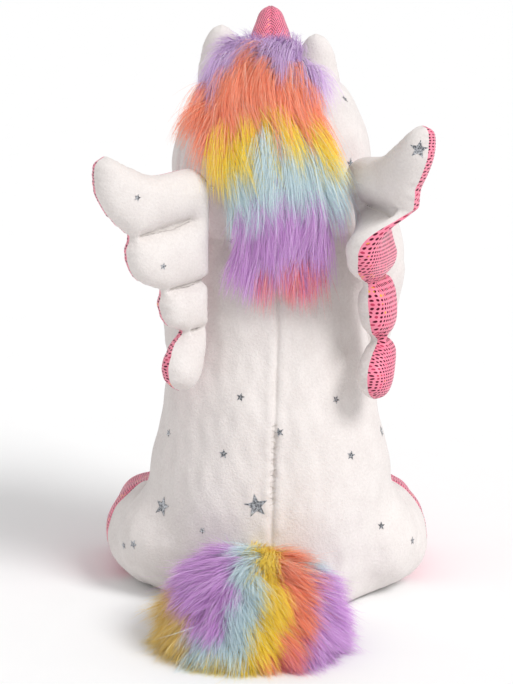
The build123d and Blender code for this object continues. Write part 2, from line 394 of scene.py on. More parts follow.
def plush_material(name, light, shade):
    material, tree, shader = new_material(
        name, Roughness=0.92, Sheen_Weight=0.22, Sheen_Roughness=0.45, Specular_IOR_Level=0.15)
    shader.inputs["Sheen Tint"].default_value = (1, 0.98, 0.97, 1)
    place = object_place(tree)
    cloudy = noise(tree, place, 16, 3)
    tufts = noise(tree, place, 1.6, 2)
    fuzz = noise(tree, place, 0.7, 2)
    mottle = plus(tree, times(tree, cloudy, 0.5), times(tree, tufts, 0.5))
    colour = mix_colour(tree, ramp(tree, mottle, 0.32, 0.62), linear(*shade), linear(*light))
    tree.links.new(colour, shader.inputs["Base Color"])
    add_relief(tree, shader, plus(tree, tufts, times(tree, fuzz, 0.7)), NAP, 1.2)
    return material


def foil_material(name, cloth, shade):
    """Satin printed with a square grid of metallic dots, some coloured dark or gold as painted reflection.
    The fabric attribute is in millimetres.
    """
    material, tree, shader = new_material(name, Sheen_Weight=0.15, Specular_IOR_Level=0.4)
    flat = add_node(tree, "ShaderNodeAttribute", attribute_name="fabric").outputs["Vector"]
    cells = vector_node(tree, "MULTIPLY", flat, (1 / DOT_PITCH,) * 3)
    corner = vector_node(tree, "FLOOR", cells)
    away = vector_node(tree, "SUBTRACT", vector_node(tree, "SUBTRACT", cells, corner), (0.5, 0.5, 0))
    dot = ramp(tree, vector_node(tree, "LENGTH", away, output="Value"), 0.34, 0.26)
    chance_node = add_node(tree, "ShaderNodeTexWhiteNoise", {"Vector": corner}, noise_dimensions="2D")
    chance = chance_node.outputs["Value"]
    place = object_place(tree)
    kind = plus(tree, times(tree, chance, 0.35), noise(tree, place, 12, 2))
    # The dark and the gold dot colours are painted reflection, for dots that mirror dark surroundings or
    # catch the light; the rose dots are the print's own colour.
    painted_dark_reflection_or_rose = mix_colour(tree, ramp(tree, chance, 0.72, 0.8), linear(96, 14, 44), linear(206, 74, 108))
    dot_colours_with_painted_glint = mix_colour(tree, ramp(tree, kind, 0.90, 0.93), painted_dark_reflection_or_rose, linear(238, 186, 74))
    satin = mix_colour(tree, noise(tree, place, 9, 3), linear(*shade), linear(*cloth))
    tree.links.new(mix_colour(tree, dot, satin, dot_colours_with_painted_glint), shader.inputs["Base Color"])
    tree.links.new(times(tree, dot, 0.75), shader.inputs["Metallic"])
    tree.links.new(ramp(tree, dot, -0.9, 1.6), shader.inputs["Roughness"])
    add_relief(tree, shader, plus(tree, noise(tree, place, 0.6, 2), times(tree, dot, 0.5)), 0.4, 0.4)
    return material


def fur_materials(name, *shades):
    """One uniform material for each shade of pile, from the painted root shade to the palest shade, a
    painted highlight.
    """
    made = []
    for i, shade in enumerate(shades):
        material, _, shader = new_material(
            f"{name}_{i}", Roughness=0.7, Specular_IOR_Level=0.2, Sheen_Weight=0.5)
        shader.inputs["Base Color"].default_value = linear(*shade)
        shader.inputs["Sheen Tint"].default_value = linear(*shades[-1])
        made.append(material)
    return made


def thread_material(name, colour):
    material, tree, shader = new_material(name, Roughness=0.6, Specular_IOR_Level=0.35)
    inputs = {"Vector": object_place(tree), "Scale": 900.0, "Distortion": 1.5}
    twist = add_node(tree, "ShaderNodeTexWave", inputs).outputs["Fac"]
    # Painted shade: the twist's grooves, where the relief is low, are darkened to this colour.
    painted_groove_shade = tuple(0.72 * c for c in linear(*colour)[:3]) + (1.0,)
    tree.links.new(mix_colour(tree, twist, painted_groove_shade, linear(*colour)), shader.inputs["Base Color"])
    add_relief(tree, shader, twist, 0.6, 0.3)
    return material


def silver_material():
    material, tree, shader = new_material("silver_foil", Metallic=1.0, Roughness=0.22)
    cracks = add_node(tree, "ShaderNodeTexVoronoi", {"Vector": object_place(tree), "Scale": 900.0})
    crackle = cracks.outputs["Distance"]
    # The dark grey is painted dark reflection and the pale grey a painted glint, mottled by the cell
    # pattern.
    painted_reflection_tone = mix_colour(tree, ramp(tree, crackle, 0.15, 0.75), linear(62, 63, 68), linear(196, 198, 203))
    tree.links.new(painted_reflection_tone, shader.inputs["Base Color"])
    add_relief(tree, shader, crackle, 0.5, 0.2)
    return material


# strength of the plush's relief, and the spacing of the printed dots in mm
NAP = 0.35
DOT_PITCH = 2.0
WHITE = plush_material("white_plush", (229, 223, 220), (219, 212, 209))
PINK_PLUSH = plush_material("pink_plush", (240, 172, 186), (226, 150, 168))
FOIL = foil_material("pink_foil_fabric", (250, 146, 170), (232, 118, 146))
SILVER = silver_material()
WHITE_THREAD = thread_material("white_thread", (240, 233, 227))
PINK_THREAD = thread_material("pink_thread", (250, 178, 176))
DARK_THREAD = thread_material("dark_thread", (70, 44, 56))


# ---- body skin: torso, head, shoulders and haunches in one ----
def ellipsoid(points, centre, radii):
    q = (points - centre) / radii
    near = np.linalg.norm(q, axis=-1)
    steep = np.linalg.norm(q / radii, axis=-1)
    return near * (near - 1) / np.maximum(steep, 1e-9)


def soft_min(a, b, width):
    share = np.maximum(width - np.abs(a - b), 0) / width
    return np.minimum(a, b) - share * share * width / 4


TORSO_CURVE = spline(TORSO, 8)


def torso_field(points):
    height = points[..., 2]
    sections = [np.interp(height, TORSO_CURVE[:, 0], TORSO_CURVE[:, i]) for i in (1, 2, 3)]
    half_width, half_depth, centre_y = sections
    x = points[..., 0] / half_width
    y = (points[..., 1] - centre_y) / half_depth
    side = (np.hypot(x, y) - 1) * np.minimum(half_width, half_depth)
    return np.maximum(side, height - TORSO[-1][0])


def bulges():
    """The soft forms that stand out of torso and head: centre, radii and how wide the join is."""
    made = [(MUZZLE, (36, 35, 33), 10)]
    for side, sign in SIDES.items():
        mirror = np.array((sign, 1, 1))
        made.append((HEAD + mirror * (34, -27, -16), (26, 26, 25), 14))
        made.append((HEAD + mirror * (33, -5, 41), (19, 17, 17), 8))
        shoulder = joint_point(f"shoulder_raise_{side}")
        made.append((shoulder + mirror * (-2, 2, 14), (33, 31, 42), 12))
        hip = joint_point(f"hip_splay_{side}")
        made.append((hip + mirror * (-2, 4, 2), (35, 42, 36), 12))
    return made


BULGES = bulges()


def body_field(points):
    """Distance outside the body's skin, near enough."""
    field = soft_min(torso_field(points), ellipsoid(points, HEAD, (HEAD_R, HEAD_R - 1, HEAD_R + 1)), 12)
    for centre, radii, width in BULGES:
        field = soft_min(field, ellipsoid(points, centre, radii), width)
    return -soft_min(-field, points[..., 2], 5)


def body_rays(row_step, columns):
    """Rows of rays from a spindle inside the body: first the underside, then the sides, then the crown."""
    foot = np.array((0, 2, 42))
    side_rows = int((HEAD[2] - foot[2]) / row_step)
    cap_rows = int(105 / row_step)
    floor_rows = int(78 / row_step)
    share = np.concatenate([np.zeros(floor_rows), np.linspace(0, 1, side_rows), np.ones(cap_rows)])
    low = -90 * (1 - (np.arange(floor_rows) + 0.5) / floor_rows)
    high = 90 * (np.arange(cap_rows) + 0.7) / cap_rows
    lift = np.radians(np.concatenate([low, np.zeros(side_rows), high]))
    turn = np.arange(columns) / columns * TAU
    turn = turn - 0.45 * np.sin(turn)
    origin = foot + (HEAD - foot) * share[:, None]
    flat = np.stack([np.sin(turn), np.cos(turn), 0 * turn], -1)
    direction = np.cos(lift)[:, None, None] * flat + np.sin(lift)[:, None, None] * np.array((0, 0, 1))
    return np.broadcast_to(origin[:, None], direction.shape), direction


def cast(origin, direction, field, reach=180, steps=24):
    near = np.zeros(direction.shape[:-1])
    far = near + reach
    for _ in range(steps):
        half = (near + far) / 2
        inside = field(origin + direction * half[..., None]) < 0
        near = np.where(inside, half, near)
        far = np.where(inside, far, half)
    return origin + direction * near[..., None]


def body_grid(row_step, columns):
    points = cast(*body_rays(row_step, columns), body_field)
    return points.reshape(-1, 3), closed_skin(len(points), columns)


def seam_x(height):
    return np.interp(height, *zip(*SEAM_X))


def seam_groove(across, along, depth=1.3, width=1.1):
    """A sewn line: a narrow groove between two soft swells, gathered a little along its length."""
    gather = 1 + 0.35 * np.sin(along / 1.9) + 0.25 * np.sin(along / 3.1 + 1)
    swell = 0.45 * depth * bump(np.abs(across), 4.2, 2.6) * gather
    return swell - depth * bump(across, 0, width)


def body_seams(points):
    x, y, z = points.T
    back = (y > 10) & (z > 14) & (z < 262)
    move = np.where(back, seam_groove(x - seam_x(z), z), 0)
    low, high = HAND_STITCHES[:2]
    hand = smoothstep(z, low - 6, low + 4) * smoothstep(-z, -high - 4, -high + 6)
    wander = x - seam_x(z) - 0.7 * np.sin(z / 3.3)
    pucker = -0.9 * bump(wander, 0, 1.4) + 0.5 * np.sin(z / 1.3) * bump(wander, 0, 3.5)
    move = move + np.where(back, hand * pucker, 0)
    side_y = HEAD[1] + 10 + 19 * smoothstep(-z, -HEAD[2] - 43, -HEAD[2] - 17)
    head = (np.abs(x) > 25) & (z > 245) & (z < HEAD[2] + 55)
    move = move + np.where(head, seam_groove(y - side_y, z, 0.8, 1.0), 0)
    past_head = ellipsoid(points, HEAD, HEAD_R)
    neck = (np.abs(past_head) < 9) & (z < 246) & (y < 30)
    return move + np.where(neck, -1.2 * bump(torso_field(points) - past_head, 0, 2.2), 0)


def body_softness(points):
    """Slow dents and small creases of stuffed plush, in mm along the normal."""
    z = points[:, 2]
    slow = 0.9 * ripple(points, 60, 3)
    creases = 0.28 * ripple(points * (1, 1, 0.45), 13, 5)
    settle = 0.7 * np.sin((z - 10) / 5.5 + 1.5 * ripple(points, 70, 8)) * smoothstep(-z, -46, -16) * (z > 4)
    return (slow + creases + settle) * smoothstep(z, 0.5, 9)


def make_body():
    points, faces = body_grid(3.6, 150)
    body = make_piece("plush_body", points, faces, WHITE)
    x, y, z = points.T
    on_seam = (np.abs(x - seam_x(z)) < 1.2) & (y > 0)
    inflate(body, np.flatnonzero((z < 3) | on_seam), "body")
    refine(body)
    points = points_of(body)
    normals = normals_of(body)
    points = points + normals * (body_softness(points) + body_seams(points))[:, None]
    points[:, 2] = np.maximum(points[:, 2], 0.15)
    set_points(body, points)
    return body


def finish_body(body):
    nodes = ["back_panel_left", "back_panel_right", "belly_panel", "torso_stuffing"]
    nodes += ["head_panel_left", "head_panel_right", "muzzle_panel", "head_stuffing"]
    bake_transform(body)
    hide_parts(*nodes)


# ---- limbs ----
# seam: where the hoof cover starts, as a share of the length. bow: how far the leg swells outward.
# taper: how much thinner the hoof is. tilt and crown: how far the seam slants on the outer side and on top.
LIMBS = {
    "foreleg": {
        "joint": "shoulder_raise", "radius": 30.0, "seam": 0.76, "taper": 0.0,
        "bow": {"left": 0, "right": 0}, "tilt": {"left": 0, "right": 0}, "crown": {"left": 0, "right": 0}},
    "hind_leg": {
        "joint": "hip_splay", "radius": 33.0, "seam": 0.38, "taper": 5.0,
        "bow": {"left": 9, "right": 8}, "tilt": {"left": 24, "right": 28},
        "crown": {"left": 8, "right": 16}},
}
LIMB_COLUMNS = 60
SOLE_ROUND = 9.0
SOLE_ROWS = 7


def limb_axes(prefix, side):
    """Ball centre, unit direction to the sole, length, and two directions across."""
    start = joint_point(f"{LIMBS[prefix]['joint']}_{side}")
    ahead = middle(f"{prefix}_sole_{side}") - start
    length = np.linalg.norm(ahead) + 2
    ahead = unit(ahead)
    across = unit(np.cross(ahead, (0, 0, 1) if prefix == "hind_leg" else (0, 1, 0)))
    across = across * (SIDES[side] if across[0] > 0 else -SIDES[side])
    return start, ahead, length, across, np.cross(ahead, across)


def limb_profile(radius, length, seam):
    """Stations along the limb and the radius at each: ball, sleeve, hoof, rounded edge, sole."""
    step = 2.8
    ball = -radius * np.cos(np.linspace(0.12, 0.5, 12) * math.pi)
    flank = np.arange(step / 2, length - SOLE_ROUND, step)
    corner = length - SOLE_ROUND + SOLE_ROUND * np.sin(np.linspace(0, 0.5, 8) * math.pi)
    along = np.concatenate([ball, flank, corner, np.full(SOLE_ROWS, length)])
    width = np.sqrt(np.maximum(radius**2 - np.minimum(along, 0) ** 2, 1))
    share = np.clip(along / length, 0, 1)
    width = width * (1 - 0.035 * bump(share, seam, 0.16)) + 1.6 * smoothstep(share, seam, seam + 0.18)
    edge = np.clip((along - length + SOLE_ROUND) / SOLE_ROUND, 0, 1)
    width = width - SOLE_ROUND * (1 - np.sqrt(1 - edge**2))
    sole = np.arange(len(along)) - (len(along) - SOLE_ROWS)
    narrowing = 1 - 0.995 * np.clip((sole + 0.4) / (SOLE_ROWS - 0.6), 0, 1)
    width = np.where(sole >= 0, (radius - SOLE_ROUND) * narrowing, width)
    return along + np.where(sole >= 0, 1.6 * np.sqrt(np.clip(sole, 0, SOLE_ROWS) / SOLE_ROWS), 0), width


def limb_grid(prefix, side):
    facts = LIMBS[prefix]
    start, ahead, length, across, third = limb_axes(prefix, side)
    along, width = limb_profile(facts["radius"], length, facts["seam"])
    turn = np.arange(LIMB_COLUMNS + 1) / LIMB_COLUMNS * TAU
    ring = across * np.cos(turn)[:, None] + third * np.sin(turn)[:, None]
    near_seam = bump(along, facts["seam"] * length, 38)
    slope = facts["crown"][side] * third[2] * np.sin(turn) - facts["tilt"][side] * np.cos(turn)
    shift = near_seam[:, None] * slope
    bow = facts["bow"][side] * bump(along, 0.45 * length, 32)
    centre = start + ahead * along[:, None] + across * bow[:, None]
    taper = facts["taper"] * smoothstep(along / length, 0.1, 0.8)
    centre[:, 2] -= taper
    width = width * (1 - taper / facts["radius"])
    points = centre[:, None] + ring * width[:, None, None] + ahead * shift[..., None]
    walked = np.append(0, np.cumsum(np.hypot(np.diff(along), np.diff(width))))
    fabric = np.stack(np.broadcast_arrays(turn * facts["radius"], walked[:, None]), -1)
    return points, fabric, along / length


def make_limb(prefix, side):
    facts = LIMBS[prefix]
    points, fabric, share = limb_grid(prefix, side)
    rows, columns = points.shape[:2]
    seam_row = int(np.argmin(np.abs(share - facts["seam"])))
    sole_row = rows - SOLE_ROWS
    name = f"{prefix}_{side}"
    flat = points.reshape(-1, 3)
    faces = grid_faces(rows, columns, closed=False)
    limb = make_piece(name, flat, faces, fabric=fabric.reshape(-1, 2))
    index = np.arange(rows * columns).reshape(rows, columns)
    rings = [index[0], index[1], index[seam_row], index[sole_row], index[-1]]
    pins = np.concatenate(rings + [index[:, 0], index[:, -1]])
    inflate(limb, pins, "limb")
    flat = points_of(limb)
    normals = normals_of(limb)
    row = np.repeat(np.arange(rows), columns)
    around = fabric.reshape(-1, 2)[:, 0]
    gather = 1 + 0.5 * np.sin(around / 1.7) + 0.4 * np.sin(around / 2.9)
    move = 0.5 * ripple(flat, 26, 11) + 0.25 * ripple(flat, 9, 12)
    for line, depth in ((seam_row, 2.2), (sole_row, 1.2)):
        move = move - depth * (row == line) + 0.35 * gather * (np.abs(row - line) == 1)
    flat = flat + normals * move[:, None]
    grid = flat.reshape(rows, columns, 3)
    grid[:, -1] = grid[:, 0]
    flat[:, 2] = np.maximum(flat[:, 2], 0.3)
    set_points(limb, flat)
    band = np.repeat(np.arange(rows - 1), columns - 1)
    pieces = {
        "sleeve": (band < seam_row, WHITE, "white_plush", 0.8),
        "hoof_cover": ((band >= seam_row) & (band < sole_row), FOIL, "pink_foil_fabric", 0.8),
        "sole": (band >= sole_row, PINK_PLUSH, "pink_foil_fabric", None),
    }
    for part, (wanted, material, slot, fill) in pieces.items():
        piece = keep_faces(f"{prefix}_{part}_soft_{side}", limb, wanted, material)
        refine(piece)
        nodes = [f"{prefix}_{part}_{side}"] + ([f"{prefix}_stuffing_{side}"] if part == "sleeve" else [])
        finish_piece(piece, f"{prefix}_{side}", slot, *nodes, fill=fill)
    bpy.data.objects.remove(limb)


# ---- pillows: wings and ears ----
def inside_outline(points, outline):
    x, y = points[:, 0, None], points[:, 1, None]
    ax, ay = outline[:, 0], outline[:, 1]
    bx, by = np.roll(ax, -1), np.roll(ay, -1)
    crosses = (ay > y) != (by > y)
    with np.errstate(divide="ignore", invalid="ignore"):
        at = ax + (y - ay) / (by - ay) * (bx - ax)
    return (crosses & (x < at)).sum(1) % 2 == 1


def even_steps(path, step, closed=False):
    path = np.asarray(path, float)
    if closed:
        path = np.vstack([path, path[:1]])
    run = np.concatenate([[0], np.cumsum(np.linalg.norm(np.diff(path, axis=0), axis=1))])
    count = max(2, int(round(run[-1] / step)) + 1)
    at = np.linspace(0, run[-1], count)
    even = np.column_stack([np.interp(at, run, path[:, i]) for i in range(2)])
    return even[:-1] if closed else even


def distance_to(points, others):
    return np.sqrt(((points[:, None] - others[None]) ** 2).sum(-1)).min(1)


def flat_panel(outline, creases, step):
    """A triangle mesh of a flat panel: points, triangles, and which points are on edge or crease."""
    edge = even_steps(outline, step * 0.8, closed=True)
    lines = [even_steps(crease, step * 0.8)[1:] for crease in creases]
    marks = np.vstack([edge] + lines)
    low, high = edge.min(0), edge.max(0)
    columns, rows = (np.ceil((high - low) / (step, step * 0.866)) + 1).astype(int)
    grid = np.array([(low[0] + (i + 0.5 * (j % 2)) * step, low[1] + j * step * 0.866)
                     for j in range(rows) for i in range(columns)])
    grid = grid[inside_outline(grid, edge)]
    grid = grid[distance_to(grid, marks) > step * 0.55]
    points = np.vstack([marks, grid])
    count = len(edge)
    edges = [(i, (i + 1) % count) for i in range(count)]
    start = count
    for line in lines:
        edges += [(start + i, start + i + 1) for i in range(len(line) - 1)]
        start += len(line)
    made = delaunay_2d_cdt([Vector(p) for p in points], edges, [list(range(count))], 1, 1e-4)
    verts = np.array([tuple(v) for v in made[0]])
    on_edge = distance_to(verts, edge) < 1e-3
    on_crease = (distance_to(verts, np.vstack(lines)) < 1e-3) if lines else np.zeros(len(verts), bool)
    return verts, [list(face) for face in made[2]], on_edge, on_crease & ~on_edge


# As shares of a pillow's thickness: the way from a seam to full height, and each side's height with and
# without cloth. PILLOW_GAP is half the gap that is left between the panels, in mm.
PILLOW_ROOM = 0.62
DOME_WITH_CLOTH = 0.4
PILLOW_GAP = 0.3


def make_pillow(name, outline, creases, thickness, pins_near, step=3.0):
    """Two flat panels sewn round their edge and along their creases, then blown up.

    Its points are (across, thickness, height), and the back panel's faces come first.
    """
    verts, triangles, on_edge, on_crease = flat_panel(outline, creases, step)
    count = len(verts)
    marks = verts[on_edge | on_crease]
    room = np.clip(distance_to(verts, marks) / (PILLOW_ROOM * thickness), 0, 1)
    share = DOME_WITH_CLOTH
    dome = share * thickness * np.sqrt(1 - (1 - room) ** 2)
    crease = CREASE_HALF + CREASE_EASE * distance_to(verts, verts[on_edge])
    dome = np.where(on_crease, np.minimum(crease, dome + PILLOW_GAP), dome + PILLOW_GAP)
    dome[on_edge] = 0
    back = np.column_stack([verts[:, 0], dome, verts[:, 1]])
    front = np.column_stack([verts[:, 0], -dome, verts[:, 1]])
    mirror_of = np.arange(count) + count
    mirror_of[on_edge] = np.flatnonzero(on_edge)
    keep = np.flatnonzero(~on_edge)
    place = np.arange(count)
    place[keep] = count + np.arange(len(keep))
    faces = [face[::-1] for face in triangles] + [[int(place[i]) for i in face] for face in triangles]
    points = np.vstack([back, front[keep]])
    fabric = np.vstack([verts, verts[keep]])
    pillow = make_piece(name, points, faces, fabric=fabric)
    held = on_crease | pins_near(verts)
    pinned = np.flatnonzero(np.concatenate([held, held[keep]]))
    inflate(pillow, pinned, "pillow")
    refine(pillow)
    return pillow


def wing_outline():
    path = [spline(lobe, 7)[:-1] for lobe in WING_LOBES]
    return np.vstack(path)


def wing_place(points, side):
    """Carries a flat wing to its root on the back, turning and bending it."""
    root = joint_point(f"wing_fold_{side}")
    sign = SIDES[side]
    u, w, drawn = points.T
    height = np.interp(drawn, WING_DRAWN, WING_LEVELS[side])
    height = height + (drawn - np.clip(drawn, WING_DRAWN[0], WING_DRAWN[-1]))
    height = height + WING_LIFT[side] * u * smoothstep(drawn, 238, 270)
    levels, turns = zip(*WING_TURNS[side])
    smooth = spline(np.column_stack([levels, turns]), 8)
    turn = np.radians(np.interp(height, smooth[:, 0], smooth[:, 1]))
    base = math.radians(WING_BASE_TURN)
    x = np.zeros(len(u))
    y = np.zeros(len(u))
    steps = 10
    for i in range(steps):
        here = base + (turn - base) * smoothstep(u * (i + 0.5) / steps, 0, WING_BEND)
        x = x + np.cos(here) * u / steps
        y = y + np.sin(here) * u / steps
    last = base + (turn - base) * smoothstep(u, 0, WING_BEND)
    x = x - np.sin(last) * w
    y = y + np.cos(last) * w
    inward = np.interp(height, *zip(*WING_ROOTS[side]))
    return np.column_stack([root[0] + sign * (x - inward), root[1] + y, height])


def split_pillow(pillow, body, side, names, replaced, fill):
    """Two pieces from a pillow that stands at its place: the white back and the pink front."""
    total = len(pillow.data.polygons)
    wanted = np.arange(total) < total / 2
    looks = ((names[0], wanted, WHITE, "white_plush"), (names[1], ~wanted, FOIL, "pink_foil_fabric"))
    for (name, faces, material, slot), nodes in zip(looks, replaced):
        piece = keep_faces(name, pillow, faces, material)
        if side == "right":
            piece.data.flip_normals()
        finish_piece(piece, body, slot, *nodes, fill=fill)
    bpy.data.objects.remove(pillow)


def make_wing(side):
    grown = wing_outline() * (WING_GROWTH, 1)
    pillow = make_pillow(f"wing_{side}", grown, WING_CREASES, WING_T, lambda p: p[:, 0] < WING_SEWN)
    set_points(pillow, wing_place(points_of(pillow), side))
    names = (f"wing_back_panel_{side}", f"wing_front_panel_{side}")
    replaced = ((f"wing_back_{side}", f"wing_stuffing_{side}"), (f"wing_front_{side}",))
    split_pillow(pillow, f"wing_{side}", side, names, replaced, 0.8)
    make_quilting(side)


def make_quilting(side):
    outline = even_steps(wing_outline(), 2.0, closed=True)
    for face, label, material in ((1, "back", WHITE_THREAD), (-1, "front", PINK_THREAD)):
        parts = []
        for crease in WING_CREASES:
            line = even_steps(crease, 1.2)
            half = CREASE_HALF + CREASE_EASE * distance_to(line, outline)
            wave = face * (half + 0.1 + 0.4 * np.sin(np.arange(len(line)) * 1.9))
            path = wing_place(np.column_stack([line[:, 0], wave, line[:, 1]]), side)
            parts.append(tube(path, 0.35))
        thread = make_piece(f"wing_{label}_thread_{side}", *join_parts(parts), material)
        finish_piece(thread, f"wing_{side}", "thread", f"wing_quilting_{side}")


def make_ear(side):
    inward, lift = EARS[side]
    outline = spline(EAR_OUTLINE, 6, closed=True)
    pillow = make_pillow(f"ear_{side}", outline, [], EAR_T, lambda p: p[:, 1] < EAR_SEWN, step=2.2)
    across, depth, height = points_of(pillow).T
    level = joint_point(f"ear_flop_{side}")
    cup = 0.018 * (across - 31) ** 2
    lean = 0.10 * np.maximum(height - level[2], 0)
    x = SIDES[side] * (across - inward)
    z = height + lift * smoothstep(height, 338, 350)
    set_points(pillow, np.column_stack([x, level[1] + depth - cup - lean, z]))
    names = (f"ear_back_{side}", f"ear_lining_{side}")
    replaced = ((f"ear_outer_{side}",), (f"ear_inner_{side}",))
    split_pillow(pillow, f"ear_{side}", side, names, replaced, 0.5)


# ---- horn ----
def make_horn():
    low, high = box_mm("horn_cover")
    lean = math.radians(30)
    tip = np.array((0, low[1] + 7, high[2] - 7))
    axis = np.array((0, -math.sin(lean), math.cos(lean)))
    rows, columns = 34, 56
    length = 66.0
    share = np.linspace(0, 1, rows)
    width = 25 - 18.5 * share**1.15
    cap = np.clip((share - 0.88) / 0.12, 0, 1)
    width = width * np.sqrt(1 - 0.985 * cap**2)
    along = length * (share - 1) + 7
    turn = np.arange(columns + 1) / columns * TAU
    side = np.array((1, 0, 0))
    back = np.cross(axis, side)
    back = back if back[1] > 0 else -back
    ring = back * np.cos(turn)[:, None] + side * np.sin(turn)[:, None]
    gather = 1 + 0.02 * np.sin(along / 2.6)[:, None] * (0.6 + 0.4 * np.cos(turn))
    points = tip + axis * along[:, None, None] + ring * (width[:, None] * gather)[..., None]
    slant = length - along - 7 + 8
    half = 0.30 * (turn - math.pi)
    fabric = np.stack([slant[:, None] * np.sin(half), slant[:, None] * np.cos(half)], -1)
    faces = grid_faces(rows, columns + 1, closed=False)[:, ::-1]
    horn = make_piece("horn_skin", points.reshape(-1, 3), faces, FOIL, fabric=fabric.reshape(-1, 2))
    index = np.arange(rows * (columns + 1)).reshape(rows, columns + 1)
    inflate(horn, np.concatenate([index[:6].ravel(), index[:, 0], index[:, -1]]), "horn")
    flat = points_of(horn)
    seam = np.minimum(turn, TAU - turn) * 12
    dip = np.broadcast_to(-1.0 * bump(seam, 0, 1.2) + 0.4 * bump(seam, 3.5, 2), (rows, columns + 1)).ravel()
    flat = flat + normals_of(horn) * dip[:, None]
    grid = flat.reshape(rows, columns + 1, 3)
    grid[:, -1] = grid[:, 0]
    set_points(horn, flat)
    refine(horn)
    finish_piece(horn, "head", "pink_foil_fabric", "horn_cover", "horn_stuffing", fill=0.9)


# ---- long pile: mane and tail ----
# shades of each pile: the darkest is painted shade for the roots, the middle two are the pile's own, and
# the palest is a painted highlight on scattered strands
PILE = {
    "lilac": ((196, 158, 214), (216, 180, 230), (226, 198, 236), (242, 228, 246)),
    "coral": ((255, 132, 98), (255, 152, 118), (255, 172, 140), (255, 214, 192)),
    "yellow": ((255, 206, 40), (255, 221, 60), (255, 230, 100), (255, 243, 176)),
    "blue": ((184, 212, 222), (204, 226, 234), (218, 236, 240), (242, 250, 250)),
    "purple": ((196, 138, 206), (214, 158, 224), (226, 182, 234), (242, 222, 248)),
    "gold": ((240, 202, 96), (248, 216, 120), (250, 224, 150), (252, 238, 196)),
    "rose": ((214, 96, 124), (236, 124, 144), (246, 158, 158), (250, 200, 194)),
}
PILE_SHARES = (0.05, 0.5, 0.37, 0.08)
STRAND_POINTS = 7
STRAND_WIDTH = 0.26
MANE_LENGTH = 44
# strands in each clump, and the clump's radius
MANE_CLUMP = (125, 7.5)
TAIL_CLUMP = (110, 6.8)
# colour, and from where to where down the mane. The first and the last take all that is left.
MANE_BANDS = [
    ("lilac", -99, 25), ("coral", 25, 59), ("yellow", 59, 73),
    ("blue", 73, 99), ("purple", 99, 146), ("rose", 146, 199),
]
MANE_HALF_WIDTH = (
    (-30, 5), (-8, 11), (8, 21), (22, 28), (38, 28), (60, 29), (80, 30), (100, 27), (150, 20))
MANE_MIDDLE = ((0, 4), (40, 8), (69, 8), (94, -1), (124, -8), (158, -6))
TUFT = {"centre": (13, 114), "reach": (53, 52), "height": 60}
TUFT_ROUND = 0.34


def strands(guides, clump, core, seed):
    """Tapered ribbons round each guide. They mostly face away from the core point."""
    rng = np.random.default_rng(seed)
    per_clump, spread = clump
    clumps, steps = guides.shape[:2]
    count = clumps * per_clump
    owner = np.repeat(np.arange(clumps), per_clump)
    s = np.linspace(0, 1, STRAND_POINTS)
    reach = rng.uniform(0.72, 1.06, count)
    at = np.clip(s * reach[:, None], 0, 1) * (steps - 1)
    low = np.minimum(at.astype(int), steps - 2)
    part = (at - low)[..., None]
    path = guides[owner[:, None], low] * (1 - part) + guides[owner[:, None], low + 1] * part
    ahead = unit(guides[:, -1] - guides[:, 0])[owner]
    across = unit(np.cross(ahead, rng.normal(size=(count, 3))))
    offset = spread * np.sqrt(rng.uniform(0, 1, count))
    path = path + across[:, None] * (offset[:, None] * (1 - 0.1 * s))[..., None]
    stray = unit(rng.normal(size=(count, 3))) * (rng.gamma(1.3, 2.1, count))[:, None]
    path = path + stray[:, None] * (s**2)[:, None]
    wave = rng.uniform(0, TAU, count)[:, None] + s * rng.uniform(2, 5, count)[:, None]
    side = unit(np.cross(ahead, across))
    path = path + side[:, None] * (0.9 * s * np.sin(wave))[..., None]
    outward = unit(path - core) + 0.3 * rng.normal(size=(count, 1, 3))
    facing = unit(np.cross(np.gradient(path, axis=1), outward))
    half = 0.5 * STRAND_WIDTH * (1 - 0.9 * s**2.2)[:, None] * rng.uniform(0.7, 1.3, count)[:, None, None]
    points = np.stack([path - facing * half, path + facing * half], 2)
    first = np.arange(count)[:, None] * STRAND_POINTS * 2 + np.arange(STRAND_POINTS - 1) * 2
    faces = np.stack([first, first + 1, first + 3, first + 2], -1).reshape(-1, 4)
    # Slot 0, the darkest, is painted shade on each strand's root part; the palest shade is a painted
    # highlight on a few strands beyond their roots.
    shade = rng.choice(4, count, p=PILE_SHARES)
    slots = np.where(s[:-1] < rng.uniform(0.1, 0.32, count)[:, None], 0, shade[:, None]).ravel()
    return points.reshape(-1, 3), faces, slots


def make_pile(name, colour, guides, clump, core, seed):
    points, faces, slots = strands(guides, clump, core, seed)
    points[:, 2] = np.maximum(points[:, 2], 0.2)
    return make_piece(name, points, faces, *fur_materials(name, *PILE[colour]), slots=slots)


def scalp(a, b, h):
    """A point h above the back of the head: a runs down from the crown and b sideways, both in mm."""
    turning = math.radians(95) * HEAD_R
    alpha = np.minimum(a, turning) / HEAD_R
    beta = b / HEAD_R
    normal = np.stack([np.sin(beta), np.cos(beta) * np.sin(alpha), np.cos(beta) * np.cos(alpha)], -1)
    below = np.maximum(a - turning, 0)[..., None] * np.array((0, -0.03, -1))
    return HEAD + normal * (HEAD_R + h)[..., None] + below


def jittered(low, high, step, rng):
    x, y = np.meshgrid(np.arange(low[0], high[0], step), np.arange(low[1], high[1], step))
    spots = np.column_stack([x.ravel(), y.ravel()])
    return spots + rng.uniform(-0.5, 0.5, spots.shape) * step


def mane_roots():
    rng = np.random.default_rng(21)
    spots = jittered((-30, -40), (152, 40), 5.4, rng)
    half = np.interp(spots[:, 0], *zip(*MANE_HALF_WIDTH))
    return spots[np.abs(spots[:, 1]) < half], rng


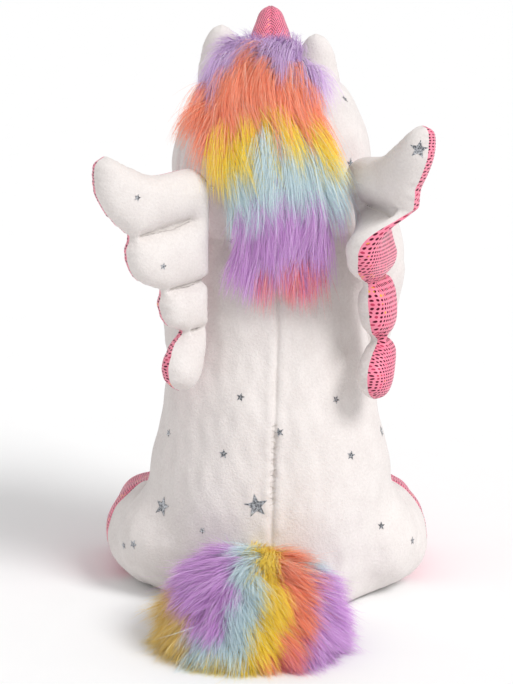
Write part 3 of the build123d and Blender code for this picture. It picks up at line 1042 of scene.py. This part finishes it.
def mane_guides(roots, rng):
    a, b = roots[:, 0, None], roots[:, 1, None]
    count = len(roots)
    s = np.linspace(0, 1, 10)
    place = np.column_stack([roots, np.zeros(count)])
    half = np.interp(a, *zip(*MANE_HALF_WIDTH))
    sway = 0.42 * ripple(place, 55, 31)[:, None] + 0.22 * rng.normal(size=(count, 1))
    crest = smoothstep(-a, -14, 20)
    length = MANE_LENGTH * rng.uniform(0.8, 1.05, (count, 1)) * (1 - 0.45 * crest)
    layer = rng.uniform(0.25, 1.0, (count, 1))
    splay = np.clip((0.22 + 0.2 * smoothstep(-a, -34, -14)) * b / half + sway, -0.85, 0.85)
    fall = np.sqrt(1 - splay**2)
    down = a + length * fall * (1 - 0.62 * crest) * (0.25 * s + 0.75 * s**1.6) * 0.86
    aside = b + length * splay * s**1.2 * (0.6 + 0.35 * crest)
    rise = (12 + 12 * layer) * (1 - (1 - s) ** 2.4) * (1 - 0.35 * smoothstep(a, 80, 140)) - 5 * crest
    sunk = 9 * smoothstep(a, 100, 135) * (1 - s) ** 2
    guides = scalp(down, aside, rise - sunk)
    guides[..., 0] += np.interp(down, *zip(*MANE_MIDDLE))
    gravity = 7 * smoothstep(a, -10, 60) * s**2
    guides[..., 2] -= gravity
    return guides


def make_mane():
    roots, rng = mane_roots()
    guides = mane_guides(roots, rng)
    middle_x = np.interp(roots[:, 0], (0, 140), (3, 6))
    chevron = roots[:, 0] - 0.72 * np.abs(roots[:, 1] + middle_x) + 9 + rng.normal(size=len(roots)) * 1.2
    for i, (colour, low, high) in enumerate(MANE_BANDS):
        mine = guides[(chevron >= low) & (chevron < high)]
        piece = make_pile(f"mane_{colour}", colour, mine, MANE_CLUMP, HEAD, 40 + i)
        if colour in ("lilac", "coral", "yellow"):
            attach(piece, "head")
        else:
            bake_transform(piece)
        if colour == "lilac":
            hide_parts("mane_crown")
        if colour == "purple":
            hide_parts("mane_nape")


def tuft_height(x, y):
    (cx, cy), (rx, ry) = TUFT["centre"], TUFT["reach"]
    left = 1 - ((x - cx) / rx) ** 2 - ((y - cy) / ry) ** 2
    return TUFT["height"] * np.maximum(left, 0) ** TUFT_ROUND


def tail_colour(spots, rng):
    """The bands of the striped pile curl round a point high on the tail's left."""
    x, y, z = spots.T
    drop = 0.98 * (TUFT["height"] + 2 - z) + 0.21 * (y - 80)
    arc = np.hypot(x - 42, np.where(drop > 26, 0.75, 0.3) * (drop - 26)) + 1.5 * rng.normal(size=len(x))
    names = np.array(["purple", "blue", "yellow", "coral", "violet"], dtype=object)
    picked = names[np.digitize(arc, (20, 33, 48, 64))]
    picked = np.where((picked == "coral") & (drop > 50) & (arc > 56), "rose", picked)
    picked = np.where((x > 58) | ((x > 50) & (drop > 36)), "gold", picked)
    return np.where((x < -16) & (drop < 22), "blue", picked)


def tuft_spots(rng):
    """Where the clumps stand: a grid over the top and rings round the steep rim."""
    (cx, cy), (rx, ry) = TUFT["centre"], TUFT["reach"]
    top = jittered((cx - rx, cy - ry), (cx + rx, cy + ry), 6.0, rng)
    rim = ((top[:, 0] - cx) / rx) ** 2 + ((top[:, 1] - cy) / ry) ** 2
    top = top[rim < 0.74]
    spots = [np.column_stack([top, tuft_height(*top.T)])]
    for level in np.arange(3, 0.82 * TUFT["height"], 6.2):
        size = math.sqrt(1 - (level / TUFT["height"]) ** (1 / TUFT_ROUND))
        count = int(TAU * size * 52 / 6.2)
        turn = (np.arange(count) + rng.uniform(0, 1, count)) / count * TAU
        ring = [cx + rx * size * np.cos(turn), cy + ry * size * np.sin(turn), np.full(count, level)]
        spots.append(np.column_stack(ring))
    spots = np.vstack(spots)
    return spots[spots[:, 1] > 72]


def make_tail():
    rng = np.random.default_rng(77)
    (cx, cy), (rx, ry) = TUFT["centre"], TUFT["reach"]
    core = np.array((cx, cy - 8, 4))
    spots = tuft_spots(rng)
    count = len(spots)
    outward = unit((spots - core) / (rx, ry, TUFT["height"]))
    away = unit(outward * (1, 1, 0) + (0, 0.25, 0))
    angle = (0.55 * ripple(spots, 70, 51) + 0.25 * rng.normal(size=count))[:, None]
    beside = np.cross((0, 0, 1), away)
    flow = away * np.cos(angle) + beside * np.sin(angle) + (0, 0, -1) * (0.25 + 0.75 * (1 - outward[:, 2:]))
    flow = unit(flow)
    length = rng.uniform(15, 23, (count, 1, 1))
    s = np.linspace(0, 1, 9)[None, :, None]
    start = spots - outward * 13 - flow * 8
    puff = outward[:, None] * (13 * (1 - (1 - s) ** 2) + rng.uniform(-4, 5, (count, 1, 1)) * s)
    guides = start[:, None] + puff + flow[:, None] * (8 * s + length * s**1.4)
    guides[..., 1] = np.maximum(guides[..., 1], 70)
    colours = tail_colour(spots, rng)
    tail_body = RECORD_JOINTS["tail_lift"]["child"]
    for i, colour in enumerate(sorted(set(colours))):
        shade = "purple" if colour == "violet" else colour
        piece = make_pile(f"tail_{colour}", shade, guides[colours == colour], TAIL_CLUMP, core, 60 + i)
        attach(piece, tail_body)
        if colour == "yellow":
            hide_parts("tail_fur")
    make_tuft_core(tail_body)


def make_tuft_core(tail_body):
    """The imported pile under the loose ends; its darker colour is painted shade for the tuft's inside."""
    (cx, cy), (rx, ry) = TUFT["centre"], TUFT["reach"]
    rows, columns = 14, 40
    share = np.linspace(0.02, 0.9, rows)[:, None]
    turn = np.arange(columns) / columns * TAU
    x = cx + rx * share * np.cos(turn)
    y = np.maximum(cy + ry * share * np.sin(turn), 71)
    z = np.maximum(tuft_height(x, y) - 11, 0.6)
    points = np.stack([x, y, z], -1).reshape(-1, 3)
    points = points + np.array((0, 0, 1.5)) * ripple(points, 12, 9)[:, None]
    points[:, 2] = np.maximum(points[:, 2], 0.5)
    # The underfur's darker colours are painted shade for the inside of the tuft.
    underfur_in_painted_shade = plush_material("underfur_in_painted_shade", (186, 150, 176), (150, 110, 140))
    core = make_piece("tail_underfur", points, closed_skin(rows, columns), underfur_in_painted_shade)
    finish_piece(core, tail_body, "rainbow_fur", "tail_core")


# ---- printed stars, stitches and face ----
# stars: sideways place, height, size, and turn in degrees
BODY_STARS = [
    (-48, 333, 6, 25), (-51, 293, 9, 10), (38, 279, 4, 12), (26, 244, 4, 40), (20, 146, 6, 10),
    (-42, 142, 6, 35), (68, 114, 6, 20), (-5, 124, 6.5, -20), (-74, 112, 9, 70), (31, 109, 6.5, 0),
    (-52, 105, 6.5, 15), (72, 66, 14, 5), (10, 77, 16, -8), (45, 58, 5, 30), (-73, 54, 6, 10),
    (92, 39, 7, 20), (-95, 39, 6, 10), (-64, 144, 5, 60), (99, 35, 6, 50),
]
FRONT_STARS = [
    (28, 120, 6, 12), (-30, 96, 9, -15), (6, 74, 12, 8), (-12, 140, 5, 30), (40, 70, 6, 0),
    (-46, 132, 7, 40), (20, 160, 5, 25), (-24, 60, 5, -30), (46, 150, 8, 10), (-38, 320, 6, 15),
    (42, 316, 5, -25), (52, 268, 6, 30),
]
WING_STARS = {"left": [(83, 281, 5, 20), (68, 236, 5, 10)], "right": [(-89, 312, 12, 10)]}
STAR_POINTS = 5
STAR_LIFT = 0.25


def star_shape(size, turn):
    """Points and faces of a flat five-pointed star, with a ridge ring so that it drapes."""
    tips = np.arange(2 * STAR_POINTS) / (2 * STAR_POINTS) * TAU + math.radians(turn)
    reach = np.where(np.arange(2 * STAR_POINTS) % 2 == 0, 0.5 * size, 0.21 * size)
    rings = [np.zeros((1, 2))]
    for share in (0.35, 0.7, 1.0):
        rings.append(np.column_stack([np.sin(tips), np.cos(tips)]) * (reach * share)[:, None])
    points = np.vstack(rings)
    count = 2 * STAR_POINTS
    faces = [(0, 1 + i, 1 + (i + 1) % count) for i in range(count)]
    for ring in range(2):
        start = 1 + ring * count
        for i in range(count):
            j = (i + 1) % count
            faces.append((start + i, start + count + i, start + count + j, start + j))
    return points, faces


def tree_of(piece):
    faces = [list(polygon.vertices) for polygon in piece.data.polygons]
    return BVHTree.FromPolygons([Vector(p) for p in points_of(piece)], faces)


def star_on(tree, centre, towards, size, turn):
    """A star printed on the surface that a ray from centre towards a direction meets."""
    hit, normal = tree.ray_cast(Vector(centre), Vector(towards))[:2]
    if hit is None:
        return None
    normal = normal if normal.dot(Vector(towards)) < 0 else -normal
    normal = np.array(normal)
    across = unit(np.cross((0, 0, 1), normal))
    up = np.cross(normal, across)
    flat, faces = star_shape(size, turn)
    spread = np.array(hit) + across * flat[:, :1] + up * flat[:, 1:] + normal * 6
    points = []
    for spot in spread:
        near = tree.ray_cast(Vector(spot), Vector(-normal), 14)
        place = np.array(near[0]) if near[0] is not None else spot - normal * 6
        points.append(place + normal * STAR_LIFT)
    return np.array(points), faces


def stars_on(tree, stars, facing):
    """Stars seen from behind (facing 1) or from in front (-1)."""
    parts = [star_on(tree, (x, 400 * facing, z), (0, -facing, 0), size, turn) for x, z, size, turn in stars]
    return [part for part in parts if part is not None]


def make_stars(body):
    tree = tree_of(body)
    parts = stars_on(tree, BODY_STARS, 1) + stars_on(tree, FRONT_STARS, -1)
    groups = {"torso": [], "head": []}
    for part in parts:
        groups["head" if part[0][:, 2].mean() > NECK[2] + 12 else "torso"].append(part)
    for rider, group in groups.items():
        piece = make_piece(f"{rider}_stars", *join_parts(group), SILVER)
        finish_piece(piece, rider, "pink_foil_fabric")


def make_wing_stars(side):
    tree = tree_of(bpy.data.objects[f"wing_back_panel_{side}"])
    piece = make_piece(f"wing_stars_{side}", *join_parts(stars_on(tree, WING_STARS[side], 1)), SILVER)
    finish_piece(piece, f"wing_{side}", "pink_foil_fabric")


def make_back_stitches(body):
    tree = tree_of(body)
    low, high, count = HAND_STITCHES
    parts = []
    for i, height in enumerate(np.linspace(low, high, count)):
        slant = 1 if i % 2 else -1
        across = np.linspace(-1.7, 1.7, 7)
        path = []
        for step in across:
            spot = (seam_x(height) + step, 300, height + slant * step * 0.4)
            hit = tree.ray_cast(Vector(spot), Vector((0, -1, 0)))[0]
            path.append(np.array(hit) + (0, 0.05 + 0.2 * (1 - (step / 1.7) ** 2), 0))
        parts.append(tube(path, 0.28))
    thread = make_piece("back_seam_stitches", *join_parts(parts), WHITE_THREAD)
    finish_piece(thread, "torso", "thread", "back_seam_thread")


FACE_THREAD = (206, 96, 126)
# lashes: their angles round the eye, their roots' distance from its middle, and the lid's
LASH_ANGLES = (28, 52, 76, 100)
LASH_ROOT = 9.6
LID_RADIUS = 9.7


def eye_material():
    material, tree, shader = new_material(
        "glossy_eye", Roughness=0.06, Coat_Weight=1.0, Coat_Roughness=0.03)
    pearl = noise(tree, object_place(tree), 4, 4)
    colour = mix_colour(tree, ramp(tree, pearl, 0.45, 0.75), linear(16, 8, 18), linear(70, 34, 84))
    tree.links.new(colour, shader.inputs["Base Color"])
    return material


def make_eyes(body):
    tree = tree_of(body)
    glossy = eye_material()
    for side, sign in SIDES.items():
        frame["nodes"][f"eye_{side}"].data.materials.clear()
        frame["nodes"][f"eye_{side}"].data.materials.append(glossy)
        low, high = box_mm(f"eye_{side}")
        outward = unit((low + high) / 2 - HEAD)
        centre = HEAD + outward * (HEAD_R + 1)
        across = unit(np.cross((0, 0, 1), outward)) * sign
        up = np.cross(outward, across) * (1 if np.cross(outward, across)[2] > 0 else -1)
        parts = []
        for k, angle in enumerate(np.radians(LASH_ANGLES)):
            root = centre + (across * math.cos(angle) + up * math.sin(angle)) * LASH_ROOT
            away = across * math.cos(angle - 0.25) + up * math.sin(angle - 0.25)
            tip = root + away * (6.5 - 0.8 * k) + outward * 0.6
            bow = (root + tip) / 2 - up * 0.9
            path = spline([root, bow, tip], 5)
            snapped = [np.array(tree.find_nearest(Vector(p))[0]) + outward * 0.35 for p in path]
            parts.append(tube(snapped, np.linspace(0.75, 0.25, len(path))))
        lid = []
        for angle in np.radians(np.linspace(8, 172, 22)):
            spot = centre + (across * math.cos(angle) + up * math.sin(angle)) * LID_RADIUS
            lid.append(np.array(tree.find_nearest(Vector(spot))[0]) + outward * 0.4)
        parts.append(tube(lid, 0.8))
        lashes = make_piece(f"eye_lashes_{side}", *join_parts(parts), DARK_THREAD)
        finish_piece(lashes, "head", "embroidery")


def on_front(tree, x, z):
    """A point just in front of the face's surface."""
    return np.array(tree.ray_cast(Vector((x, -200, z)), Vector((0, 1, 0)))[0]) + (0, -0.3, 0)


def make_face(body):
    tree = tree_of(body)
    rings = []
    for sign in (-1, 1):
        x, z = MUZZLE[0] + sign * 13.5, MUZZLE[2] + 9
        for share in (1.0, 0.62, 0.25):
            wide, high = 2.6 * share, 1.7 * share
            turns = np.linspace(0, TAU, 15)
            path = [on_front(tree, x + wide * math.cos(t), z + high * math.sin(t)) for t in turns]
            rings.append(tube(path, 0.55))
    rose = thread_material("rose_thread", FACE_THREAD)
    nostrils = make_piece("nostril_stitches", *join_parts(rings), rose)
    finish_piece(nostrils, "head", "embroidery", "nostril_embroidery")
    smile = [on_front(tree, x, MUZZLE[2] - 12 + 0.022 * x * x) for x in np.linspace(-17, 17, 31)]
    path = np.array(smile)
    path[:, 2] += 0.25 * np.sin(np.arange(len(path)) * 2.4)
    mouth = make_piece("mouth_stitches", *tube(path, 0.6), thread_material("smile_thread", FACE_THREAD))
    finish_piece(mouth, "head", "embroidery", "mouth_embroidery")


# ---- floor, light and camera ----
SKY_STRENGTH = 0.66
# the way towards the sun, its strength, and its softness in degrees
KEY_SUN = ((-0.75, 0.72, 0.95), 1.95, 24)


def make_stage():
    reach = 15000
    points = [(-reach, -reach, -0.1), (reach, -reach, -0.1), (reach, reach, -0.1), (-reach, reach, -0.1)]
    material, tree, shader = new_material("floor_paper", Roughness=0.9, Specular_IOR_Level=0.1)
    cloudy = noise(tree, object_place(tree), 60, 2)
    tone = mix_colour(tree, cloudy, (0.93, 0.93, 0.93, 1), (0.95, 0.95, 0.95, 1))
    tree.links.new(tone, shader.inputs["Base Color"])
    floor = make_piece("floor", points, [(0, 1, 2, 3)], material)


def add_sun(name, place, strength, softness):
    data = bpy.data.lights.new(name, "SUN")
    data.energy = strength
    data.angle = math.radians(softness)
    light = bpy.data.objects.new(name, data)
    light.rotation_euler = Vector(place).to_track_quat("Z", "Y").to_euler()
    bpy.context.scene.collection.objects.link(light)


def make_lights():
    world = bpy.data.worlds.new("studio")
    world.use_nodes = True
    world.node_tree.nodes["Background"].inputs["Color"].default_value = (1, 1, 1, 1)
    world.node_tree.nodes["Background"].inputs["Strength"].default_value = SKY_STRENGTH
    bpy.context.scene.world = world
    add_sun("key", *KEY_SUN)
    bpy.context.scene.view_settings.view_transform = "Standard"


# camera: its target and distance in metres, its lift in degrees, and its lens in mm
CAMERA_TARGET = (0.0097, 0, 0.170)
CAMERA_DISTANCE = 1.4
CAMERA_LIFT = 12
CAMERA_LENS = 109.8


def make_camera():
    target = Vector(CAMERA_TARGET)
    lift = math.radians(CAMERA_LIFT)
    direction = Vector((0, math.cos(lift), math.sin(lift)))
    data = bpy.data.cameras.new("camera")
    data.lens = CAMERA_LENS
    data.sensor_width = 36
    camera = bpy.data.objects.new("camera", data)
    camera.location = target + CAMERA_DISTANCE * direction
    camera.rotation_euler = direction.to_track_quat("Z", "Y").to_euler()
    bpy.context.scene.collection.objects.link(camera)
    bpy.context.scene.camera = camera


make_camera()
make_lights()
make_stage()
plush_body = make_body()
finish_body(plush_body)
for side_name in SIDES:
    make_limb("foreleg", side_name)
    make_limb("hind_leg", side_name)
    make_wing(side_name)
    make_ear(side_name)
make_horn()
make_mane()
make_tail()
make_stars(plush_body)
for side_name in SIDES:
    make_wing_stars(side_name)
make_back_stitches(plush_body)
make_eyes(plush_body)
make_face(plush_body)
